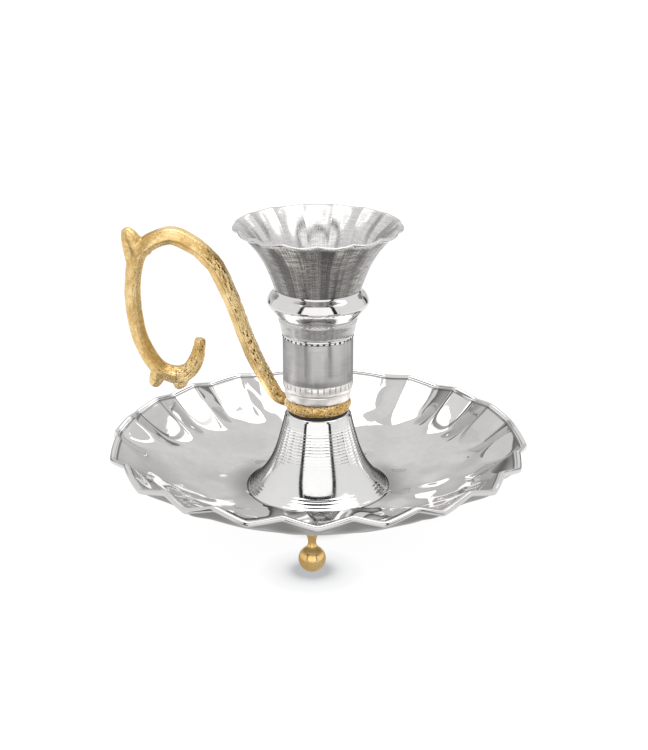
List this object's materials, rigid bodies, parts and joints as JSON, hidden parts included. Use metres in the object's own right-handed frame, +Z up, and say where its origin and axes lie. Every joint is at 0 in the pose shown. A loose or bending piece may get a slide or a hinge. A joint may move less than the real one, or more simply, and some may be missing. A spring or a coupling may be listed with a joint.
{
  "type": "candlestick",
  "caption": "Handled chamber candlestick: scalloped metal dish on ball feet, bell base, cast twig loop handle, straight candle cup and fluted trumpet mouth.",
  "frame": {"origin": "on the floor under the middle of the dish, on the tie rod's axis", "axes": "+Z up along the tie rod; -Y is the front, with one foot and one lobe tip; the handle points to -X"},
  "size_m": [0.1778, 0.1778, 0.134],
  "materials": {
    "polished_steel": "mirror polish, lightly hammered on the dish",
    "brushed_steel": "fine cross-hatched brushing",
    "gold_cast": "gold-plated cast brass with a rough twig texture",
    "gold_brass": "turned brass, satin gold",
    "fastener_steel": "plain steel",
    "fibre": "matt black fibre"
  },
  "bodies": {
    "root": {"dish": "polished_steel", "foot_front": "gold_brass", "foot_rear_left": "gold_brass", "foot_rear_right": "gold_brass", "foot_bosses": "fastener_steel", "bell_base": "polished_steel", "eye_washer": "fibre", "handle": "gold_cast", "cup_sleeve": "polished_steel", "candle_socket": "brushed_steel", "ferrule_ring": "polished_steel", "collar_bead": "polished_steel", "trumpet": "brushed_steel", "tie_rod": "fastener_steel", "cup_washer": "fastener_steel", "cup_nut": "fastener_steel", "under_washer": "fastener_steel", "spring_washer": "fastener_steel", "under_nut": "fastener_steel"}
  },
  "joints": []
}
